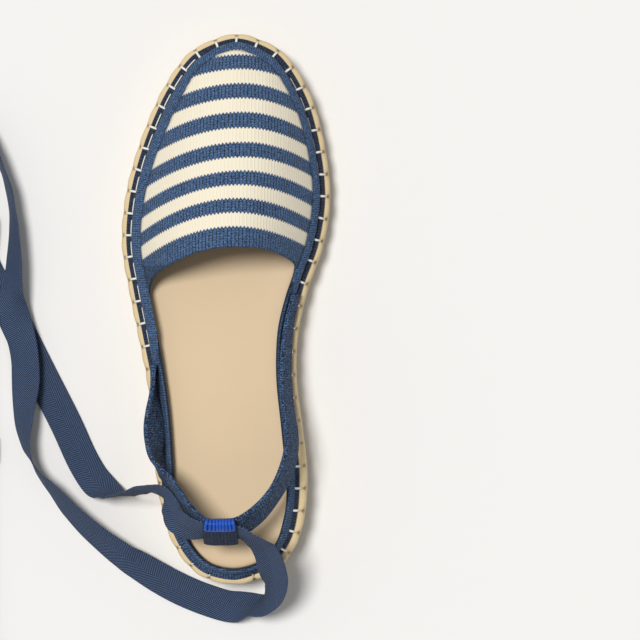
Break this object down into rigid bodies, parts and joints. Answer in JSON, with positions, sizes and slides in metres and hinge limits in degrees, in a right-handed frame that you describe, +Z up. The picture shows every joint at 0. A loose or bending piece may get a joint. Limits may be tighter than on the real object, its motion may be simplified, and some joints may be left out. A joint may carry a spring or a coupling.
{
  "type": "slingback espadrille",
  "caption": "Flat left slingback espadrille with a closed striped knit vamp, knit sling strap, low rubber sole and long twill ribbon ankle ties.",
  "frame": {"origin": "on the floor, under the middle of the shoe's length and width, ribbon ties not counted", "axes": "+Z up, +Y from heel to toe along the shoe, +X to the inner (medial) side of the foot"},
  "size_m": [0.2252, 0.309, 0.0673],
  "materials": {
    "sole_rubber": "matte, fine grained tan rubber",
    "insole_leather": "smooth matte light tan",
    "navy_knit": "dense ribbed knit, navy with cream stripes on the vamp",
    "ribbon_twill": "matte herringbone twill ribbon"
  },
  "bodies": {
    "root": {"sole": "sole_rubber", "insole": "insole_leather", "upper": "navy_knit", "piping": "navy_knit", "slingback": "navy_knit", "heel_loop": "navy_knit", "tie_outer": "ribbon_twill", "tie_inner": "ribbon_twill", "hank_outer": "ribbon_twill", "hank_inner": "ribbon_twill", "band_outer": "navy_knit", "band_inner": "navy_knit"}
  },
  "joints": []
}
